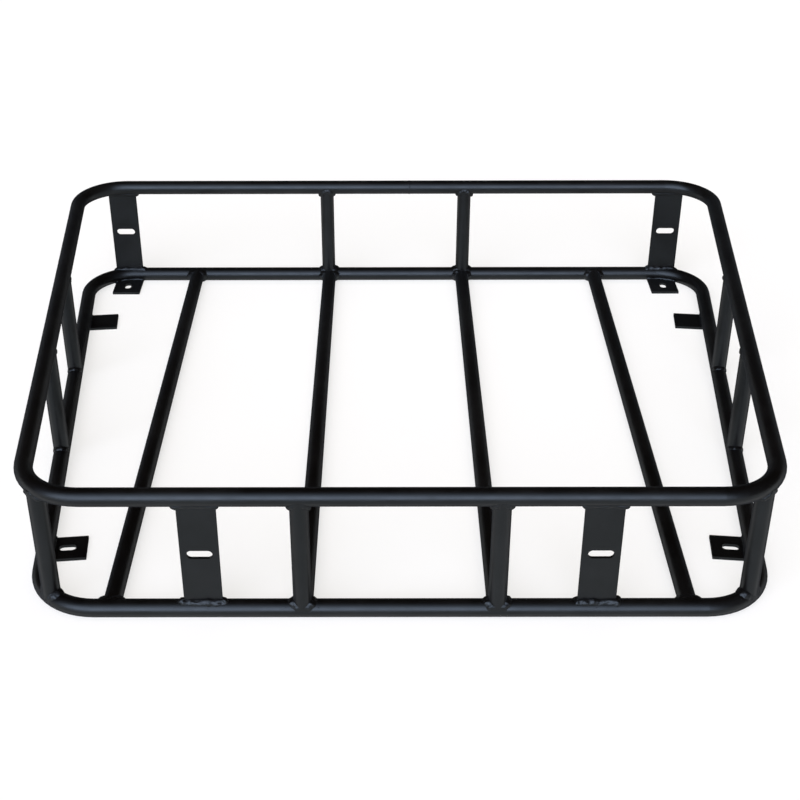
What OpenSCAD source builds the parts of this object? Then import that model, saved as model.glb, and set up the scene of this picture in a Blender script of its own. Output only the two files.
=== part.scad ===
// Roof cargo rack: an open basket of bent round steel tube.
// Two bent rings lie one above the other. Posts and flat plates hold them apart, deck tubes
// run from front to rear across the bottom ring, and slotted tabs reach inward from it.
// Every tube end is cut to the saddle of the tube that it lands on.
// X is the rack's width, Y its depth with the front at -Y, and Z is up from its underside.

/* [Rings] */
// Outside diameter of every round tube
tube_d = 25.4; // [19:0.1:32]
// Width along the front rail, from centre line to centre line of the side rails
front_w = 992; // [900:1:1150]
// Width along the rear rail, from centre line to centre line of the side rails
rear_w = 1207; // [1190:1:1400]
// Depth from the front rail's centre line to the rear rail's
ring_depth = 1028; // [950:1:1300]
// Height from the bottom ring's centre line to the top ring's
ring_rise = 184; // [120:1:260]
// Centre-line radius of the two front bends
front_bend_r = 88; // [60:1:110]
// Centre-line radius of the two rear bends
rear_bend_r = 80; // [60:1:110]
// Diameter that the tube loses where it is drawn round a bend
bend_draw = 0.1; // [0.05:0.05:0.5]

/* [Deck tubes and posts] */
// Spacing of the four deck tubes
deck_pitch = 262; // [220:1:280]
// Distance of the front and rear posts from the middle of the rack
post_x = 132; // [60:1:180]
// Distance of the side posts from the middle of the side rails
side_post_y = 126; // [60:1:200]
// How far round its bend each corner post stands, counted from the front rail
corner_post_turn = 44; // [20:1:60]
// How far above the rail's centre line the lips of a saddle cut stop
saddle_lip = 3; // [2:0.5:5]

/* [Plates and tabs] */
// Width of the flat bar that the plates and tabs are cut from
bar_w = 52; // [40:1:60]
// Thickness of the flat bar
bar_t = 4.8; // [3:0.1:8]
// Distance of the front plates from the middle of the rack
front_plate_x = 266; // [220:1:320]
// Distance from each end of the rear rail's width to the rear plate and rear tab there
rear_plate_inset = 76.5; // [75:0.5:120]
// Length of the slot in each plate
plate_slot_l = 35; // [20:1:36]
// Height of the slot in each plate
plate_slot_w = 13; // [8:0.5:16]
// Distance of the front side tabs behind the front rail's centre line
front_side_tab_inset = 142; // [130:1:220]
// Distance of the rear side tabs ahead of the rear rail's centre line
rear_side_tab_inset = 188; // [165:1:260]
// Reach of each front side tab from the centre line of its rail
front_side_tab_reach = 58; // [54:1:80]
// Reach of each rear side tab from the centre line of its rail
rear_side_tab_reach = 60; // [54:1:80]
// Reach of each rear tab from the centre line of its rail
rear_tab_reach = 65; // [60:1:80]
// Width of the slot in each slotted tab
tab_slot_w = 13; // [8:0.5:14]
// Length of the slot in each front side tab
side_tab_slot_l = 25; // [15:1:28]
// Distance from the rail's centre line to the middle of a front side tab's slot
side_tab_slot_reach = 30; // [28:1:36]
// Length of the slot in each rear tab
rear_tab_slot_l = 21; // [15:1:24]
// Distance from the rail's centre line to the middle of a rear tab's slot
rear_tab_slot_reach = 37.5; // [32:0.5:44]

/* [Hidden] */
$fn = 48;
tube_r = tube_d / 2;
bottom_z = tube_r;
top_z = bottom_z + ring_rise;
front_y = -ring_depth / 2;
rear_y = ring_depth / 2;
rear_plate_x = rear_w / 2 - rear_plate_inset;
// Angle between each side rail and the Y axis
side_lean = atan2((rear_w - front_w) / 2, ring_depth);
// A tab lies flush with the underside and stops under the rail, where the cut leaves it this thick
tab_heel_t = 1.5;
tab_heel = sqrt(tube_r * tube_r - (tube_r - tab_heel_t) * (tube_r - tab_heel_t));
// The plates are cut from blanks that end inside the rails, so that the rails' surfaces trim them
plate_lap = tube_r * 0.7;
// Straight tube runs on this far into the thinner tube of each bend
bend_lap = 1;
cut_over = 2;

// Centre line of the side rail on the right, at a distance y behind the middle
function rail_x(y) = (front_w + rear_w) / 4 + y * tan(side_lean);

// Length that a bend takes from each of the two rails beside it
function bend_set_back(radius, turn) = radius * tan(turn / 2);

front_turn = 90 - side_lean;
rear_turn = 90 + side_lean;
front_set_back = bend_set_back(front_bend_r, front_turn);
rear_set_back = bend_set_back(rear_bend_r, rear_turn);
// Half the length of the side rail's centre line between its two sharp corners
side_half_l = ring_depth / 2 / cos(side_lean);
front_bend_x = front_w / 2 - front_set_back;
rear_bend_x = rear_w / 2 - rear_set_back;

module satin_black() {
    color([0.10, 0.11, 0.12]) children();
}

module tube(length) {
    cylinder(d = tube_d, h = length);
}

// Sweeps a section round a bend that starts along +X from the origin and turns to the left
module swept_round(radius, turn) {
    translate([0, radius, 0])
        rotate([0, 0, -90])
            rotate_extrude(angle = turn)
                translate([radius, 0])
                    children();
}

module at_front_bend() {
    translate([front_bend_x, front_y, 0])
        children();
}

module at_rear_bend() {
    translate([rear_bend_x, rear_y, 0])
        mirror([0, 1, 0])
            children();
}

// A straight rail across the rack whose bends start bend_x either side of the middle
module cross_rail(bend_x, y) {
    translate([-bend_x - bend_lap, y, 0])
        rotate([0, 90, 0])
            tube(2 * (bend_x + bend_lap));
}

// The side rail and the two bends on the right
module ring_side() {
    at_front_bend()
        swept_round(front_bend_r, front_turn)
            circle(d = tube_d - bend_draw);
    translate([rail_x(0), 0, 0])
        rotate([0, 0, -side_lean])
            translate([0, front_set_back - side_half_l - bend_lap, 0])
                rotate([-90, 0, 0])
                    tube(2 * side_half_l - front_set_back - rear_set_back + 2 * bend_lap);
    at_rear_bend()
        swept_round(rear_bend_r, rear_turn)
            circle(d = tube_d - bend_draw);
}

module ring() {
    cross_rail(front_bend_x, front_y);
    cross_rail(rear_bend_x, rear_y);
    ring_side();
    mirror([1, 0, 0])
        ring_side();
}

module rings() {
    translate([0, 0, bottom_z])
        ring();
    translate([0, 0, top_z])
        ring();
}

// Cuts the ends of what it is given to the surface of both rings
module trimmed_to_rings() {
    difference() {
        children();
        rings();
    }
}

// Puts a piece on the right or, mirrored, on the left
module on_side(side) {
    mirror([side == "left" ? 1 : 0, 0, 0])
        children();
}

module post(x, y) {
    satin_black()
        trimmed_to_rings()
            translate([x, y, bottom_z + saddle_lip])
                tube(ring_rise - 2 * saddle_lip);
}

module corner_post() {
    post(front_bend_x + front_bend_r * sin(corner_post_turn),
         front_y + front_bend_r * (1 - cos(corner_post_turn)));
}

module deck_tube(x) {
    satin_black()
        trimmed_to_rings()
            translate([x, front_y + saddle_lip, bottom_z])
                rotate([-90, 0, 0])
                    tube(ring_depth - 2 * saddle_lip);
}

// A slot with round ends along X, cut through in Z about the origin
module slot(length, width) {
    straight = length - width;
    translate([0, 0, -bar_t / 2 - cut_over])
        linear_extrude(bar_t + 2 * cut_over)
            union() {
                square([straight, width], center = true);
                for (end = [-1, 1])
                    translate([end * straight / 2, 0])
                        circle(d = width);
            }
}

// An upright plate between the rails, slotted at half height
module plate(x, y) {
    satin_black()
        trimmed_to_rings()
            translate([x, y, (bottom_z + top_z) / 2])
                rotate([90, 0, 0])
                    difference() {
                        cube([bar_w, ring_rise - 2 * plate_lap, bar_t], center = true);
                        slot(plate_slot_l, plate_slot_w);
                    }
}

// A flat tab that reaches along +X from a rail's centre line at the origin
module tab(reach) {
    translate([tab_heel, -bar_w / 2, 0])
        cube([reach - tab_heel, bar_w, bar_t]);
}

module slotted_tab(reach, slot_l, slot_reach) {
    difference() {
        tab(reach);
        translate([slot_reach, 0, bar_t / 2])
            slot(slot_l, tab_slot_w);
    }
}

// Sets a tab square to the right side rail, reaching inward
module on_side_rail(y) {
    satin_black()
        trimmed_to_rings()
            translate([rail_x(y), y, 0])
                rotate([0, 0, 180 - side_lean])
                    children();
}

module front_side_tab() {
    on_side_rail(front_y + front_side_tab_inset)
        slotted_tab(front_side_tab_reach, side_tab_slot_l, side_tab_slot_reach);
}

module rear_side_tab() {
    on_side_rail(rear_y - rear_side_tab_inset)
        tab(rear_side_tab_reach);
}

// A tab under the rear plate, reaching forward, with its heel cut round where the bend begins
module rear_tab() {
    satin_black()
        trimmed_to_rings()
            difference() {
                translate([rear_plate_x, rear_y, 0])
                    rotate([0, 0, -90])
                        slotted_tab(rear_tab_reach, rear_tab_slot_l, rear_tab_slot_reach);
                at_rear_bend()
                    swept_round(rear_bend_r, rear_turn)
                        translate([-tab_heel, -cut_over])
                            square([tab_heel + tube_d, bar_t + 2 * cut_over]);
            }
}

module bottom_ring() {
    satin_black()
        translate([0, 0, bottom_z])
            ring();
}

module top_ring() {
    satin_black()
        translate([0, 0, top_z])
            ring();
}

bottom_ring();
top_ring();
deck_tube(-1.5 * deck_pitch);  // deck_tube_outer_left
deck_tube(-0.5 * deck_pitch);  // deck_tube_inner_left
deck_tube(0.5 * deck_pitch);  // deck_tube_inner_right
deck_tube(1.5 * deck_pitch);  // deck_tube_outer_right
post(-post_x, front_y);  // front_post_left
post(post_x, front_y);  // front_post_right
post(-post_x, rear_y);  // rear_post_left
post(post_x, rear_y);  // rear_post_right
on_side("left") corner_post();  // front_corner_post_left
on_side("right") corner_post();  // front_corner_post_right
post(-rail_x(-side_post_y), -side_post_y);  // side_post_front_left
post(-rail_x(side_post_y), side_post_y);  // side_post_rear_left
post(rail_x(-side_post_y), -side_post_y);  // side_post_front_right
post(rail_x(side_post_y), side_post_y);  // side_post_rear_right
plate(-front_plate_x, front_y);  // front_plate_left
plate(front_plate_x, front_y);  // front_plate_right
plate(-rear_plate_x, rear_y);  // rear_plate_left
plate(rear_plate_x, rear_y);  // rear_plate_right
on_side("left") front_side_tab();  // front_side_tab_left
on_side("right") front_side_tab();  // front_side_tab_right
on_side("left") rear_side_tab();  // rear_side_tab_left
on_side("right") rear_side_tab();  // rear_side_tab_right
on_side("left") rear_tab();  // rear_tab_left
on_side("right") rear_tab();  // rear_tab_right
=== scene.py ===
"""The looks of a roof cargo rack: its satin black powder coat, weld beads, spatter and butt seam.

X is the rack's width, Y its depth with the front at -Y, and Z is up from its underside.
Sizes are in metres unless they are said to be in millimetres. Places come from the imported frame.
"""

import math
import random

import bmesh
import bpy
from mathutils import Matrix, Vector, noise


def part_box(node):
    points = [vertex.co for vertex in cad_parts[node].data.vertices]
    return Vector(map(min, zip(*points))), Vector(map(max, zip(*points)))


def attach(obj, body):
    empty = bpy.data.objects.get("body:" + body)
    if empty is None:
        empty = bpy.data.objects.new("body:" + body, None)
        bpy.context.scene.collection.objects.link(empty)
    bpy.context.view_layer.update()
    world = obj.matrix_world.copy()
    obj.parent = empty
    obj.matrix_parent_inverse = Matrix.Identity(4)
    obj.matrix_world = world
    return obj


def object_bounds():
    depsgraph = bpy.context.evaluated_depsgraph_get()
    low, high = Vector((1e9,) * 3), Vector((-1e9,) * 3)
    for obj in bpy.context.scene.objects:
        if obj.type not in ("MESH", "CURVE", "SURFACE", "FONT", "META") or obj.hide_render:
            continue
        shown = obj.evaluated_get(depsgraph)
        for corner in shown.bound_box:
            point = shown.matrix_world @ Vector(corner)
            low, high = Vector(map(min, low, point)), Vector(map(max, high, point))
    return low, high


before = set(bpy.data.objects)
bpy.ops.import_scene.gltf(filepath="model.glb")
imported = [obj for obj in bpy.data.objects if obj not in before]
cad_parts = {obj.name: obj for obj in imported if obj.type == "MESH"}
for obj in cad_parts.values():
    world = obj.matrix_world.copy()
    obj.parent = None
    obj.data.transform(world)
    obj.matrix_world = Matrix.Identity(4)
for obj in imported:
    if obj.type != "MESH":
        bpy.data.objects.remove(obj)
cad_low, cad_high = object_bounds()

MM = 0.001
MM_PER_M = 1000
ACROSS = Vector((1, 0, 0))
BACK = Vector((0, 1, 0))
UP = Vector((0, 0, 1))
# The body of every piece
BODY = "root"


def middle(node):
    low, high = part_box(node)
    return (low + high) / 2


# The rings and the flat bar, as the frame has them

ring_low, ring_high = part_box("bottom_ring")
TUBE_R = (ring_high.z - ring_low.z) / 2
BOTTOM_Z = middle("bottom_ring").z
TOP_Z = middle("top_ring").z
FRONT_Y = ring_low.y + TUBE_R
REAR_Y = ring_high.y - TUBE_R

plate_low, plate_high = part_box("front_plate_left")
BAR_W = plate_high.x - plate_low.x
BAR_T = plate_high.y - plate_low.y

# Sizes that no box of the frame shows: the radii of the bends, and how far from the rail's centre
# line the lips of a saddle cut and the heel of a tab stop
FRONT_BEND_R = 88 * MM
REAR_BEND_R = 80 * MM
SADDLE_LIP = 3 * MM
TAB_HEEL = 6 * MM

# The side rail's centre line passes through the middles of its two posts
side_front = middle("side_post_front_right")
side_rear = middle("side_post_rear_right")
SIDE_SLOPE = (side_rear.x - side_front.x) / (side_rear.y - side_front.y)
SIDE_LEAN = math.atan(SIDE_SLOPE)


def side_rail_x(y):
    return side_front.x + (y - side_front.y) * SIDE_SLOPE


FRONT_BEND_X = side_rail_x(FRONT_Y) - FRONT_BEND_R * math.tan((math.pi / 2 - SIDE_LEAN) / 2)
REAR_BEND_X = side_rail_x(REAR_Y) - REAR_BEND_R * math.tan((math.pi / 2 + SIDE_LEAN) / 2)
FRONT_BEND_CENTRE = Vector((FRONT_BEND_X, FRONT_Y + FRONT_BEND_R))
REAR_BEND_CENTRE = Vector((REAR_BEND_X, REAR_Y - REAR_BEND_R))


def on_bend(point, centre, radius, start, end):
    """The point of a bend's centre line that is nearest to a point in plan."""
    out = point - centre
    turn = min(max(math.atan2(out.y, out.x), start), end)
    return centre + radius * Vector((math.cos(turn), math.sin(turn)))


def ring_axis(point):
    """The point of the nearer ring's centre line that is nearest to a point."""
    side = -1 if point.x < 0 else 1
    plan = Vector((abs(point.x), point.y))
    along = Vector((math.sin(SIDE_LEAN), math.cos(SIDE_LEAN)))
    side_start = FRONT_BEND_CENTRE + FRONT_BEND_R * Vector((along.y, -along.x))
    side_end = REAR_BEND_CENTRE + REAR_BEND_R * Vector((along.y, -along.x))
    reach = min(max((plan - side_start).dot(along), 0), (side_end - side_start).length)
    candidates = [
        Vector((min(plan.x, FRONT_BEND_X), FRONT_Y)),
        Vector((min(plan.x, REAR_BEND_X), REAR_Y)),
        on_bend(plan, FRONT_BEND_CENTRE, FRONT_BEND_R, -math.pi / 2, -SIDE_LEAN),
        on_bend(plan, REAR_BEND_CENTRE, REAR_BEND_R, -SIDE_LEAN, math.pi / 2),
        side_start + reach * along,
    ]
    nearest = min(candidates, key=lambda candidate: (candidate - plan).length)
    height = BOTTOM_Z if point.z < (BOTTOM_Z + TOP_Z) / 2 else TOP_Z
    return Vector((side * nearest.x, nearest.y, height))


def rail_direction(point):
    """The direction of the ring's centre line beside a point."""
    moves = [ring_axis(point + step) - ring_axis(point - step) for step in (ACROSS * MM, BACK * MM)]
    return max(moves, key=lambda move: move.length).normalized()


def onto_rail(point, depth=0.0):
    """The point moved onto a rail's surface, or that depth under it."""
    axis = ring_axis(point)
    return axis + (point - axis).normalized() * (TUBE_R - depth)


def add_object(name, data):
    new_object = bpy.data.objects.new(name, data)
    bpy.context.scene.collection.objects.link(new_object)
    return new_object


# Shader nodes

# Places of a Mix node's colour sockets, whose names its other sockets have too
MIX_COLOUR_A = 6
MIX_COLOUR_B = 7
MIX_COLOUR_RESULT = 2


def node_at(tree, kind, **settings):
    """A new shader node. A setting that names none of its sockets is one of its own properties."""
    node = tree.nodes.new(kind)
    for key, value in settings.items():
        if key in node.inputs:
            node.inputs[key].default_value = value
        else:
            setattr(node, key, value)
    return node


def noise_at(tree, place, size, detail, roughness):
    """Noise whose features are about the given size."""
    node = node_at(tree, "ShaderNodeTexNoise", Scale=1 / size, Detail=detail, Roughness=roughness)
    tree.links.new(place, node.inputs["Vector"])
    return node.outputs["Fac"]


def mapped(tree, value, span, ends=(0, 1)):
    """A value brought from one span to another, and held at its ends."""
    node = tree.nodes.new("ShaderNodeMapRange")
    for key, number in zip(("From Min", "From Max", "To Min", "To Max"), (*span, *ends)):
        node.inputs[key].default_value = number
    tree.links.new(value, node.inputs["Value"])
    return node.outputs["Result"]


def mixed_colour(tree, share, first, second):
    """The first of two colours, with the given share of the second."""
    node = node_at(tree, "ShaderNodeMix", data_type="RGBA")
    tree.links.new(share, node.inputs["Factor"])
    for socket, colour in ((node.inputs[MIX_COLOUR_A], first), (node.inputs[MIX_COLOUR_B], second)):
        if isinstance(colour, tuple):
            socket.default_value = (*colour, 1)
        else:
            tree.links.new(colour, socket)
    return node.outputs[MIX_COLOUR_RESULT]


def bumped(tree, height, depth, strength, below=None):
    """A bump of the given depth, on top of the one below."""
    node = node_at(tree, "ShaderNodeBump", Strength=strength, Distance=depth)
    tree.links.new(height, node.inputs["Height"])
    if below is not None:
        tree.links.new(below, node.inputs["Normal"])
    return node.outputs["Normal"]


def math_at(tree, operation, first, second=None):
    node = node_at(tree, "ShaderNodeMath", operation=operation)
    for socket, value in zip(node.inputs, (first, second)):
        if isinstance(value, (int, float)):
            socket.default_value = value
        elif value is not None:
            tree.links.new(value, socket)
    return node.outputs[0]


# Powder coat

COAT_BLACK = (0.0016, 0.0012, 0.0010)
COAT_WORN = (0.0040, 0.0036, 0.0034)
COAT_SHEEN = (0.80, 0.93, 1.0)
COAT_SPECULAR = 0.28
DUST = (0.030, 0.028, 0.026)

# Sizes of the worn clouds, the dust specks and the patches of gloss, and the span of the noise
# from none of each to all of it
CLOUD_SIZE = 90 * MM
CLOUD_SPAN = (0.42, 0.68)
SPECK_SIZE = 1.1 * MM
SPECK_SPAN = (0.70, 0.78)
PATCH_SIZE = 26 * MM
PATCH_SPAN = (0.3, 0.7)

# Light that grazes the coat is scattered by its peel, so the edges of a tube mirror little.
# The gloss is lost over this span of Layer Weight's Facing.
GRAZING_SPAN = (0.42, 0.8)

PEEL_SIZE = 1.7 * MM
PEEL_DEPTH = 0.05 * MM
GRAIN_SIZE = 0.45 * MM
GRAIN_DEPTH = 0.02 * MM
WELD_LUMP_SIZE = 5.5 * MM


def powder_coat(name, gloss, peel, dust_share, lumps=0.0):
    """Satin black powder coat: orange peel, uneven gloss, faint cloudy wear and fine dust specks.

    Gloss is the roughness of its glossiest and dullest patches, and peel the strength of its bump.
    Lumps are the depth of the soft unevenness of weld metal under the coat.
    """
    material = bpy.data.materials.new(name)
    material.use_nodes = True
    tree = material.node_tree
    shader = tree.nodes["Principled BSDF"]
    place = tree.nodes.new("ShaderNodeTexCoord").outputs["Object"]

    clouds = noise_at(tree, place, CLOUD_SIZE, detail=5, roughness=0.6)
    colour = mixed_colour(tree, mapped(tree, clouds, CLOUD_SPAN), COAT_BLACK, COAT_WORN)
    specks = noise_at(tree, place, SPECK_SIZE, detail=2, roughness=0.5)
    colour = mixed_colour(tree, mapped(tree, specks, SPECK_SPAN, (0, dust_share)), colour, DUST)
    tree.links.new(colour, shader.inputs["Base Color"])

    patches = noise_at(tree, place, PATCH_SIZE, detail=4, roughness=0.6)
    facing = node_at(tree, "ShaderNodeLayerWeight", Blend=0.5).outputs["Facing"]
    roughness = node_at(tree, "ShaderNodeMix", data_type="FLOAT", B=1)
    tree.links.new(mapped(tree, facing, GRAZING_SPAN), roughness.inputs["Factor"])
    tree.links.new(mapped(tree, patches, PATCH_SPAN, gloss), roughness.inputs["A"])
    tree.links.new(roughness.outputs["Result"], shader.inputs["Roughness"])

    peel_waves = noise_at(tree, place, PEEL_SIZE, detail=2, roughness=0.45)
    grain = noise_at(tree, place, GRAIN_SIZE, detail=1, roughness=0.5)
    normal = bumped(tree, peel_waves, PEEL_DEPTH, peel)
    normal = bumped(tree, grain, GRAIN_DEPTH, peel, normal)
    if lumps:
        weld_lumps = noise_at(tree, place, WELD_LUMP_SIZE, detail=1, roughness=0.4)
        normal = bumped(tree, weld_lumps, lumps, 1, normal)
    tree.links.new(normal, shader.inputs["Normal"])
    shader.inputs["Specular IOR Level"].default_value = COAT_SPECULAR
    shader.inputs["Specular Tint"].default_value = (*COAT_SHEEN, 1)
    return material


satin_coat = powder_coat("satin_black_coat", gloss=(0.29, 0.41), peel=0.25, dust_share=0.5)
weld_coat = powder_coat("satin_black_weld_coat", gloss=(0.32, 0.43), peel=0.2, dust_share=0.3,
                        lumps=0.5 * MM)

for cad_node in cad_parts.values():
    cad_node.data.materials.clear()
    cad_node.data.materials.append(satin_coat)


# Seams, where a tube or a flat bar meets a rail

# Length of the steps along a seam
WELD_STEP = 0.45 * MM
# Radius of a flat bar's corners, and the steps round each
CORNER_R = 0.8 * MM
CORNER_STEPS = 7
# By this distance from a rail's centre line, a line away from it has left the rail
SEAM_REACH = 3 * TUBE_R
SEAM_PRECISION = 0.005 * MM


def circle_outline(centre, across, over):
    """Points and outward normals round a tube, in the plane of two unit vectors."""
    steps = round(2 * math.pi * TUBE_R / WELD_STEP)
    turns = [2 * math.pi * i / steps for i in range(steps)]
    normals = [across * math.cos(turn) + over * math.sin(turn) for turn in turns]
    return [(centre + normal * TUBE_R, normal) for normal in normals]


def straight_steps(start, end, turn):
    """Places along one straight side of a bar's outline, each with the turn of its normal."""
    steps = max(1, round(math.dist(start, end) / WELD_STEP))
    places = []
    for k in range(steps):
        u = start[0] + (end[0] - start[0]) * k / steps
        v = start[1] + (end[1] - start[1]) * k / steps
        places.append((u, v, turn))
    return places


def bar_outline(centre, across, over, closed=True):
    """Points and outward normals round a flat bar. If not closed, its underside is left out."""
    wide = BAR_W / 2 - CORNER_R
    thick = BAR_T / 2 - CORNER_R
    corners = [(-wide, -thick), (-wide, thick), (wide, thick), (wide, -thick)]
    places = []
    for i, corner in enumerate(corners):
        start = 3 * math.pi / 2 - i * math.pi / 2
        if closed or 0 < i < 3:
            for k in range(CORNER_STEPS):
                places.append((*corner, start - k / CORNER_STEPS * math.pi / 2))
        if closed or i < 3:
            places += straight_steps(corner, corners[(i + 1) % 4], start - math.pi / 2)
    outline = []
    for u, v, turn in places:
        normal = across * math.cos(turn) + over * math.sin(turn)
        outline.append((centre + across * u + over * v + normal * CORNER_R, normal))
    return outline


def seam_on_rail(outline, away, lip, heel=0.0):
    """Where lines from the outline along away leave the rail, no nearer its axis than the lip."""
    def in_rail(point):
        axis = ring_axis(point)
        return (point - axis).length < TUBE_R or (point - axis).to_2d().length < heel

    seam = []
    for base, normal in outline:
        outer = SEAM_REACH
        inner = outer
        while inner > lip and not in_rail(base + away * inner):
            outer = inner
            inner = max(inner - MM, lip)
        while outer - inner > SEAM_PRECISION and in_rail(base + away * inner):
            half = (inner + outer) / 2
            if in_rail(base + away * half):
                inner = half
            else:
                outer = half
        seam.append((base + away * (outer if in_rail(base + away * inner) else inner), normal))
    return seam


# Weld beads

# Steps over a bead's face, how far its toes lie under a surface, and what it leaves free in the box
BEAD_ARC = 12
BEAD_SINK = 0.25 * MM
BOX_GAP = 0.08 * MM
# The root of a bead lies this share of its leg on the piece deep in the joint
ROOT_SHARE = 0.6
# An open bead starts at this share of its size, and would gain this many sizes over its whole
# length if it didn't stop at one
OPEN_END_SHARE = 0.3
OPEN_END_GROWTH = 6

# Lengths in millimetres of a bead's unevenness, and its shares: slow swells and shorter humps of
# the whole bead, the waver of its toes, and the lumps on its face with finer ones among them
SWELL_SIZE = 10
SWELL_SHARE = 0.6
HUMP_SIZE = 5
HUMP_SHARE = 0.75
WAVER_SIZE = 5.5
WAVER_SHARE = 0.6
LUMP_SIZE = 4.5
FINE_LUMP_SHARE = 0.35
# How much of the swells and humps the crown follows
CROWN_SHARE = 0.9
# Ripples are this share of their spacing high, bow this share of it forward in the middle of the
# face, and shift along the bead over this many millimetres
RIPPLE_SHARE = 0.006
RIPPLE_BOW = 0.4
SHIFT_SIZE = 7

# Steps and places in the noise, so that each bead and each unevenness reads its own part of it
SEED_STEPS = (1.37, 2.11, 0.73)
SEED_LIMIT = 997
WAVER_PLACE = Vector((31, 7, 3))
SHIFT_PLACE = Vector((3, 19, 41))


def bead_of(rail, end, piece, crown, lumps, ripple, drops, uneven=0.22, stretch=0.0):
    """A kind of bead, with its sizes in millimetres.

    Its legs lie on the rail, on the rail at the piece's sides, and on the piece. Drops are the
    number of drops of spatter. The stretch draws the lumps out along the piece's width.
    """
    return {"rail": rail * MM, "end": end * MM, "piece": piece * MM, "crown": crown * MM,
            "lumps": lumps * MM, "ripple": ripple * MM, "drops": drops,
            "uneven": uneven, "stretch": stretch}


POST_FOOT_BEAD = bead_of(rail=4.0, end=7.6, piece=5.0, crown=1.3, lumps=0.60, ripple=2.8, drops=7)
REAR_POST_FOOT_BEAD = bead_of(rail=4.0, end=7.6, piece=5.0, crown=0.5, lumps=0.45, ripple=2.8,
                              drops=7)
CORNER_FOOT_BEAD = bead_of(rail=3.6, end=7.6, piece=4.4, crown=0.6, lumps=0.60, ripple=2.8,
                           drops=6, uneven=0.25)
SIDE_FOOT_BEAD = bead_of(rail=4.4, end=5.5, piece=3.6, crown=0.8, lumps=0.50, ripple=2.8, drops=5)
POST_HEAD_BEAD = bead_of(rail=3.6, end=4.2, piece=4.8, crown=1.6, lumps=0.60, ripple=2.8, drops=3)
DECK_BEAD = bead_of(rail=4.2, end=7.6, piece=6.0, crown=0.8, lumps=0.45, ripple=2.6, drops=5)
PLATE_FOOT_BEAD = bead_of(rail=7.0, end=7.0, piece=4.4, crown=1.7, lumps=0.90, ripple=3.4,
                          drops=12, uneven=0.45, stretch=0.40)
REAR_PLATE_FOOT_BEAD = bead_of(rail=5.2, end=7.6, piece=3.6, crown=0.9, lumps=0.55, ripple=3.0,
                               drops=6, uneven=0.38, stretch=0.40)
PLATE_HEAD_BEAD = bead_of(rail=4.4, end=6.0, piece=5.0, crown=1.5, lumps=0.70, ripple=3.0,
                          drops=4, uneven=0.30, stretch=0.6)
TAB_BEAD = bead_of(rail=4.5, end=4.5, piece=3.4, crown=0.7, lumps=0.40, ripple=3.0,
                   drops=4, uneven=0.30, stretch=0.5)


def in_box(point):
    """The point moved inside the box of the frame, clear of the surfaces that touch it."""
    return Vector(min(max(place, low + BOX_GAP), high - BOX_GAP)
                  for place, low, high in zip(point, cad_low, cad_high))


def room_ahead(point, direction):
    """How far a point can go in a direction inside the box of the frame."""
    return min(((high if part > 0 else low) - place) / part
               for place, part, low, high in zip(point, direction, cad_low, cad_high) if part)


def stretched(point, across, bead):
    """A point in millimetres, closed up along the piece's width so that its noise is drawn out."""
    return (point - across * point.dot(across) * bead["stretch"]) / MM


def seam_frame(seam, i, away, closed):
    """Unit vectors at a place on a seam: up the piece, out over the rail, and between the two."""
    point, piece_normal = seam[i]
    before = seam[i - 1][0] if closed or i else point
    after = seam[(i + 1) % len(seam)][0] if closed or i < len(seam) - 1 else point
    tangent = (after - before).normalized()
    rail_normal = (point - ring_axis(point)).normalized()
    up_piece = tangent.cross(piece_normal).normalized()
    if up_piece.dot(away) < 0:
        up_piece = -up_piece
    out_rail = rail_normal.cross(tangent).normalized()
    if out_rail.dot(piece_normal - away) < 0:
        out_rail = -out_rail
    return up_piece, out_rail, (piece_normal + rail_normal).normalized()


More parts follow.
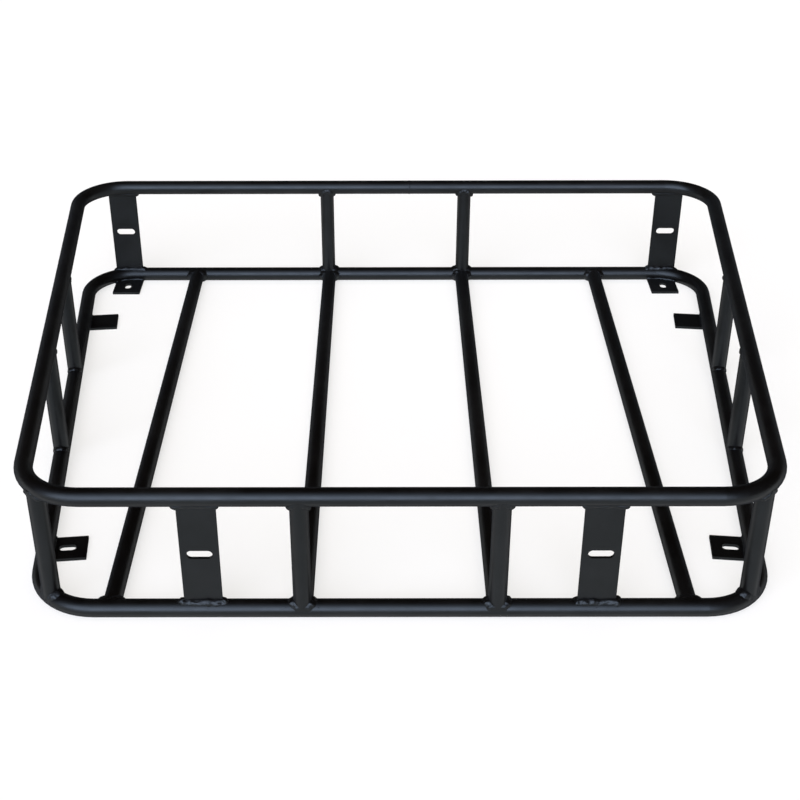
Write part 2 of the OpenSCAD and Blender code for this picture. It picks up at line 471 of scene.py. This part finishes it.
def bead_rings(seam, away, across, onto_piece, bead, seed, closed=True):
    """Cross sections of a bead along a seam, each from inside the joint over the bead's face."""
    count = len(seam)
    offset = Vector(seed * step for step in SEED_STEPS)
    rings = []
    run = 0.0
    last_middle = None
    for i, (point, piece_normal) in enumerate(seam):
        up_piece, out_rail, facing = seam_frame(seam, i, away, closed)
        leg_rail = bead["rail"] + (bead["end"] - bead["rail"]) * abs(piece_normal.dot(across))
        spot = stretched(point + out_rail * leg_rail, across, bead) + offset
        swell = noise.noise(spot / SWELL_SIZE) * SWELL_SHARE
        lump = swell + noise.noise(spot / HUMP_SIZE) * HUMP_SHARE
        shift = noise.noise(spot / SHIFT_SIZE + SHIFT_PLACE) * bead["ripple"]
        waver = noise.noise(spot / WAVER_SIZE + WAVER_PLACE)
        grown = OPEN_END_SHARE + OPEN_END_GROWTH * min(i, count - 1 - i) / count
        ends = 1.0 if closed else min(1.0, grown)

        rail_share = 1 + bead["uneven"] * (lump + WAVER_SHARE * waver)
        rail_toe = onto_rail(point + out_rail * leg_rail * ends * rail_share, BEAD_SINK)
        leg_piece = bead["piece"] * ends * (1 + bead["uneven"] * (lump - WAVER_SHARE * waver))
        piece_toe = onto_piece(point + up_piece * leg_piece, piece_normal)
        middle_of_face = (rail_toe + piece_toe) / 2
        if last_middle is not None:
            run += (middle_of_face - last_middle).length
        last_middle = middle_of_face

        # The bead is flush where the box leaves no room for its crown
        proud = min(max((room_ahead(middle_of_face, facing) - BEAD_SINK) / bead["crown"], 0), 1)
        # The face is a quadratic curve, whose control point stands out twice as far as its middle
        crown = facing * bead["crown"] * ends * proud * (1 + CROWN_SHARE * lump)
        control = middle_of_face + crown * 2
        ring = [point - facing * bead["piece"] * ROOT_SHARE]
        for k in range(BEAD_ARC + 1):
            u = k / BEAD_ARC
            # 0 at both toes and 1 in the middle of the face
            bow = 4 * u * (1 - u)
            face = (1 - u) ** 2 * rail_toe + 2 * u * (1 - u) * control + u * u * piece_toe
            along = run + shift - bead["ripple"] * RIPPLE_BOW * bow
            wave = math.cos(2 * math.pi * along / bead["ripple"])
            spot = stretched(face, across, bead) / LUMP_SIZE + offset
            rough = noise.noise(spot) + FINE_LUMP_SHARE * noise.noise(spot * 2)
            lift = bead["ripple"] * wave * RIPPLE_SHARE + bead["lumps"] * rough
            ring.append(in_box(face + facing * lift * bow * proud))
        rings.append(ring)
    return rings


def add_rings(verts, faces, rings, closed=True):
    """Adds a band of cross sections, closed on itself or with its ends filled, to a mesh."""
    first = len(verts)
    size = len(rings[0])
    count = len(rings)
    for ring in rings:
        verts.extend(ring)
    for i in range(count if closed else count - 1):
        here = first + i * size
        there = first + (i + 1) % count * size
        for k in range(size):
            k2 = (k + 1) % size
            faces.append((here + k, there + k, there + k2, here + k2))
    if not closed:
        faces.append(tuple(first + k for k in range(size)))
        faces.append(tuple(first + (count - 1) * size + k for k in reversed(range(size))))


# Spatter

# Height and width of a drop's rings from the lowest up, and the height of its top, all in radii
DROP_RINGS = ((-0.5, 1.0), (0.0, 1.0), (0.20, 0.84), (0.36, 0.48))
DROP_TOP = 0.42
DROP_SPOKES = 8
DROP_UNEVEN = 0.12
DROP_SINK = 0.1 * MM
# In millimetres, the distances of drops from their seam and their radii
DROP_REACH = (6, 16)
DROP_RADIUS = (0.5, 1.0)
# Where the piece's normal leads less than this far out over the rail, no drop falls
DROP_LEAST_OUT = 0.3


def add_drop(verts, faces, centre, radius, normal, rng):
    """A small flattened drop of spatter. Its lowest ring is under the surface."""
    side = normal.orthogonal().normalized()
    over = normal.cross(side)
    first = len(verts)
    shape = [1 + rng.uniform(-DROP_UNEVEN, DROP_UNEVEN) for _ in range(DROP_SPOKES)]
    for height, width in DROP_RINGS:
        for k in range(DROP_SPOKES):
            turn = 2 * math.pi * k / DROP_SPOKES
            spoke = side * math.cos(turn) + over * math.sin(turn)
            verts.append(centre + spoke * radius * width * shape[k] + normal * radius * height)
    verts.append(centre + normal * radius * DROP_TOP)
    top = len(verts) - 1
    for row in range(len(DROP_RINGS) - 1):
        for k in range(DROP_SPOKES):
            a = first + row * DROP_SPOKES + k
            b = first + row * DROP_SPOKES + (k + 1) % DROP_SPOKES
            faces.append((a, b, b + DROP_SPOKES, a + DROP_SPOKES))
    last = first + (len(DROP_RINGS) - 1) * DROP_SPOKES
    for k in range(DROP_SPOKES):
        faces.append((last + k, last + (k + 1) % DROP_SPOKES, top))
    faces.append(tuple(first + k for k in reversed(range(DROP_SPOKES))))


def add_spatter(verts, faces, seam, count, seed):
    """Drops of spatter on the rail beside a seam."""
    rng = random.Random(seed)
    for _ in range(count):
        point, normal = seam[rng.randrange(len(seam))]
        rail_normal = (point - ring_axis(point)).normalized()
        out = normal - rail_normal * normal.dot(rail_normal)
        reach = rng.uniform(*DROP_REACH) * MM
        radius = rng.uniform(*DROP_RADIUS) * MM
        if out.length < DROP_LEAST_OUT:
            continue
        at = onto_rail(point + out.normalized() * reach, DROP_SINK)
        at_normal = (at - ring_axis(at)).normalized()
        # A drop that would touch the side of the frame's box is left out
        tip = at + at_normal * 2 * radius
        if in_box(tip) == tip:
            add_drop(verts, faces, at, radius, at_normal, rng)


# Pieces

def face_outward(mesh):
    """Turns the faces of each closed shell of a mesh outward."""
    shells = bmesh.new()
    shells.from_mesh(mesh)
    bmesh.ops.recalc_face_normals(shells, faces=shells.faces)
    shells.to_mesh(mesh)
    shells.free()


def piece_from(name, verts, faces):
    """A piece of weld from a mesh."""
    mesh = bpy.data.meshes.new(name)
    mesh.from_pydata([tuple(v) for v in verts], [], faces)
    face_outward(mesh)
    mesh.shade_smooth()
    mesh.materials.append(weld_coat)
    piece = add_object(name, mesh)
    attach(piece, BODY)


def weld(name, seam, away, across, onto_piece, bead, closed=True):
    """A bead with its spatter. Its lumps and drops come from its name, so that no two are alike."""
    seed = sum(ord(letter) * (i + 1) for i, letter in enumerate(name)) % SEED_LIMIT
    verts, faces = [], []
    add_rings(verts, faces, bead_rings(seam, away, across, onto_piece, bead, seed, closed), closed)
    add_spatter(verts, faces, seam, bead["drops"], seed)
    piece_from(name, verts, faces)


def onto_tube(centre, direction):
    """A function that moves a point to just under the surface of a tube through centre."""
    def move(point, _normal):
        axis = centre + direction * (point - centre).dot(direction)
        return axis + (point - axis).normalized() * (TUBE_R - BEAD_SINK)
    return move


def onto_flat(point, normal):
    """The point moved to just under the surface of a flat bar."""
    return point - normal * BEAD_SINK


def nodes_named(part):
    return sorted(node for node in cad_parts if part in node)


def weld_posts():
    foot_beads = {"side": SIDE_FOOT_BEAD, "corner": CORNER_FOOT_BEAD,
                  "rear_post": REAR_POST_FOOT_BEAD}
    for node in nodes_named("post"):
        place = middle(node)
        fitting = [bead for part, bead in foot_beads.items() if part in node]
        foot_bead = fitting[0] if fitting else POST_FOOT_BEAD
        ends = (("bottom", BOTTOM_Z, UP, foot_bead), ("top", TOP_Z, -UP, POST_HEAD_BEAD))
        for end, height, away, bead in ends:
            centre = Vector((place.x, place.y, height))
            across = rail_direction(centre)
            seam = seam_on_rail(circle_outline(centre, across, UP.cross(across)), away, SADDLE_LIP)
            weld(f"weld_{node}_{end}", seam, away, across, onto_tube(centre, UP), bead)


def weld_deck_tubes():
    for node in nodes_named("deck_tube"):
        x = middle(node).x
        for end, y, away in (("front", FRONT_Y, BACK), ("rear", REAR_Y, -BACK)):
            centre = Vector((x, y, BOTTOM_Z))
            seam = seam_on_rail(circle_outline(centre, ACROSS, UP), away, SADDLE_LIP)
            weld(f"weld_{node}_{end}", seam, away, ACROSS, onto_tube(centre, away), DECK_BEAD)


def weld_plates():
    for node in nodes_named("plate"):
        place = middle(node)
        foot_bead = REAR_PLATE_FOOT_BEAD if "rear" in node else PLATE_FOOT_BEAD
        ends = (("bottom", BOTTOM_Z, UP, foot_bead), ("top", TOP_Z, -UP, PLATE_HEAD_BEAD))
        for end, height, away, bead in ends:
            centre = Vector((place.x, place.y, height))
            seam = seam_on_rail(bar_outline(centre, ACROSS, BACK), away, SADDLE_LIP)
            weld(f"weld_{node}_{end}", seam, away, ACROSS, onto_flat, bead)


def weld_tabs():
    """A bead over the top of each tab and down its two edges, along the rail that carries it."""
    for node in nodes_named("tab"):
        place = middle(node)
        level = Vector((place.x, place.y, BAR_T / 2))
        if "side" in node:
            axis = ring_axis(level)
            across = rail_direction(axis)
            away = (level - axis).to_2d().normalized().to_3d()
            centre = Vector((axis.x, axis.y, level.z))
        else:
            across, away = ACROSS, -BACK
            centre = Vector((level.x, REAR_Y, level.z))
        seam = seam_on_rail(bar_outline(centre, across, UP, closed=False), away, 0, TAB_HEEL)
        weld(f"weld_{node}", seam, away, across, onto_flat, TAB_BEAD, closed=False)


# The butt seam: its place in the rear rail, half its width, its height and the depth of its root,
# then the lengths in millimetres over which its width and height vary, and how much they do
BUTT_X = 26 * MM
BUTT_HALF_W = 2.6 * MM
BUTT_H = 0.35 * MM
BUTT_ROOT = 3 * BEAD_SINK
BUTT_W_WAVE = 6
BUTT_W_UNEVEN = 0.3
BUTT_H_WAVE = 4
BUTT_H_UNEVEN = 0.6


def butt_seam():
    """The low ring of weld that closes the top ring, in its rear rail."""
    axis = Vector((BUTT_X, REAR_Y, TOP_Z))
    steps = round(2 * math.pi * TUBE_R / WELD_STEP)
    rings = []
    for i in range(steps):
        turn = 2 * math.pi * i / steps
        normal = Vector((0, math.cos(turn), math.sin(turn)))
        spot = (axis + normal * TUBE_R) * MM_PER_M
        wide = BUTT_HALF_W * (1 + BUTT_W_UNEVEN * noise.noise(spot / BUTT_W_WAVE))
        high = BUTT_H * (1 + BUTT_H_UNEVEN * noise.noise(spot / BUTT_H_WAVE))
        ring = [axis + normal * (TUBE_R - BUTT_ROOT)]
        for k in range(BEAD_ARC + 1):
            u = 2 * k / BEAD_ARC - 1
            rise = (high + BEAD_SINK) * (1 - u * u) - BEAD_SINK
            ring.append(in_box(axis + normal * (TUBE_R + rise) + ACROSS * wide * u))
        rings.append(ring)
    verts, faces = [], []
    add_rings(verts, faces, rings)
    piece_from("weld_top_ring_butt", verts, faces)


# Camera

# The photograph's own view, fitted to the rack's edges: the picture's side, focal length and
# centre in pixels, then the yaw, pitch and roll in degrees, and the place
PICTURE = 800
FOCAL = 1390.84
CENTRE_X = 383.96
CAMERA_TURNS = (0.124, -31.294, 0.142)
CAMERA_PLACE = (-0.01793, -1.98291, 1.23582)
SENSOR_W = 36
CLIP_START = 0.05


def photograph_camera():
    data = bpy.data.cameras.new("camera")
    data.sensor_width = SENSOR_W
    data.lens = FOCAL / PICTURE * data.sensor_width
    data.shift_x = 0.5 - CENTRE_X / PICTURE
    data.clip_start = CLIP_START
    yaw, pitch, roll = (math.radians(turn) for turn in CAMERA_TURNS)
    aim = Matrix.Rotation(yaw, 4, "Z") @ Matrix.Rotation(pitch, 4, "X")
    aim = aim @ Matrix.Rotation(roll, 4, "Y")
    level = Matrix.Rotation(math.pi / 2, 4, "X")
    camera = add_object("camera", data)
    camera.matrix_world = Matrix.Translation(CAMERA_PLACE) @ aim @ level
    bpy.context.scene.camera = camera


# Floor, world and lamp

FLOOR_SIZE = 40
FLOOR_COLOUR = (0.93, 0.92, 0.88)
FLOOR_ROUGHNESS = 0.9
# Part of what the camera and the coat see of the floor is plain white, so that its shadows are pale
FLOOR_WHITE = 0.65

ROOM = (0.022, 0.019, 0.016)
GLOW = (6.0, 6.4, 7.8)
HORIZON = (1.0, 1.0, 1.0)
# Of the glow's strength, this share reaches on high up
HIGH_GLOW = 0.2
# Each of these is full as far as the first angle and gone at the second, in degrees of height,
# or for the two sides of the glow, of the turn from the front towards the right
LOW_GLOW_FADE = (20, 64)
HIGH_GLOW_FADE = (60, 95)
RIGHT_GLOW_FADE = (6, 34)
LEFT_GLOW_FADE = (-40, -66)
HORIZON_FADE = (1, 2.5)

CEILING_STRENGTH = 1.55
CEILING_COLOUR = (1.0, 0.88, 0.70)
CEILING_ANGLE = 100
CEILING_PLACE = Vector((0, 0, 4))
CEILING_AIM = Vector((0, 0.8, 0))


def floor():
    mesh = bpy.data.meshes.new("floor")
    half = FLOOR_SIZE / 2
    corners = [(-half, -half, 0), (half, -half, 0), (half, half, 0), (-half, half, 0)]
    mesh.from_pydata(corners, [], [(0, 1, 2, 3)])
    material = bpy.data.materials.new("floor_white")
    material.use_nodes = True
    tree = material.node_tree
    shader = tree.nodes["Principled BSDF"]
    shader.inputs["Base Color"].default_value = (*FLOOR_COLOUR, 1)
    shader.inputs["Roughness"].default_value = FLOOR_ROUGHNESS
    shader.inputs["Specular IOR Level"].default_value = 0
    white = node_at(tree, "ShaderNodeEmission", Strength=1)
    light_path = tree.nodes.new("ShaderNodeLightPath").outputs
    seen = math_at(tree, "MAXIMUM", light_path["Is Camera Ray"], light_path["Is Glossy Ray"])
    seen = math_at(tree, "MAXIMUM", seen, light_path["Is Transmission Ray"])
    mix = tree.nodes.new("ShaderNodeMixShader")
    share, first, second = mix.inputs
    tree.links.new(math_at(tree, "MULTIPLY", seen, FLOOR_WHITE), share)
    tree.links.new(shader.outputs["BSDF"], first)
    tree.links.new(white.outputs["Emission"], second)
    tree.links.new(mix.outputs["Shader"], tree.nodes["Material Output"].inputs["Surface"])
    mesh.materials.append(material)
    add_object("floor", mesh)


def faded(tree, angle, fade):
    """1 as far as the first of two angles in degrees, easing to 0 at the second."""
    full, gone = (math.radians(degrees) for degrees in fade)
    ends = (1, 0) if full < gone else (0, 1)
    value = mapped(tree, angle, sorted((full, gone)), ends)
    value.node.interpolation_type = "SMOOTHSTEP"
    return value


def sky():
    """A dim room with one broad soft glow in front, and a pale line where the floor ends."""
    world = bpy.data.worlds.new("studio")
    bpy.context.scene.world = world
    world.use_nodes = True
    tree = world.node_tree
    direction = tree.nodes.new("ShaderNodeTexCoord").outputs["Generated"]
    split = tree.nodes.new("ShaderNodeSeparateXYZ")
    tree.links.new(direction, split.inputs["Vector"])
    across, back, up = split.outputs
    height = math_at(tree, "ARCSINE", up)
    turn = math_at(tree, "ARCTAN2", across, math_at(tree, "MULTIPLY", back, -1))
    low_glow = math_at(tree, "MULTIPLY", faded(tree, height, LOW_GLOW_FADE), 1 - HIGH_GLOW)
    high_glow = math_at(tree, "MULTIPLY", faded(tree, height, HIGH_GLOW_FADE), HIGH_GLOW)
    glow = math_at(tree, "ADD", low_glow, high_glow)
    glow = math_at(tree, "MULTIPLY", glow, faded(tree, turn, RIGHT_GLOW_FADE))
    glow = math_at(tree, "MULTIPLY", glow, faded(tree, turn, LEFT_GLOW_FADE))
    colour = mixed_colour(tree, glow, ROOM, GLOW)
    colour = mixed_colour(tree, faded(tree, height, HORIZON_FADE), colour, HORIZON)
    tree.links.new(colour, tree.nodes["Background"].inputs["Color"])


def ceiling_lamp():
    """Even light from above for the floor and every upward face. The coat doesn't mirror it."""
    light = bpy.data.lights.new("ceiling", "SUN")
    light.energy = CEILING_STRENGTH
    light.color = CEILING_COLOUR
    light.angle = math.radians(CEILING_ANGLE)
    lamp = add_object("ceiling", light)
    lamp.location = CEILING_PLACE
    lamp.rotation_euler = (CEILING_AIM - CEILING_PLACE).to_track_quat("-Z", "Y").to_euler()
    lamp.visible_camera = False
    lamp.visible_glossy = False


weld_posts()
weld_deck_tubes()
weld_plates()
weld_tabs()
butt_seam()

photograph_camera()
floor()
sky()
ceiling_lamp()
bpy.context.scene.view_settings.view_transform = "Standard"
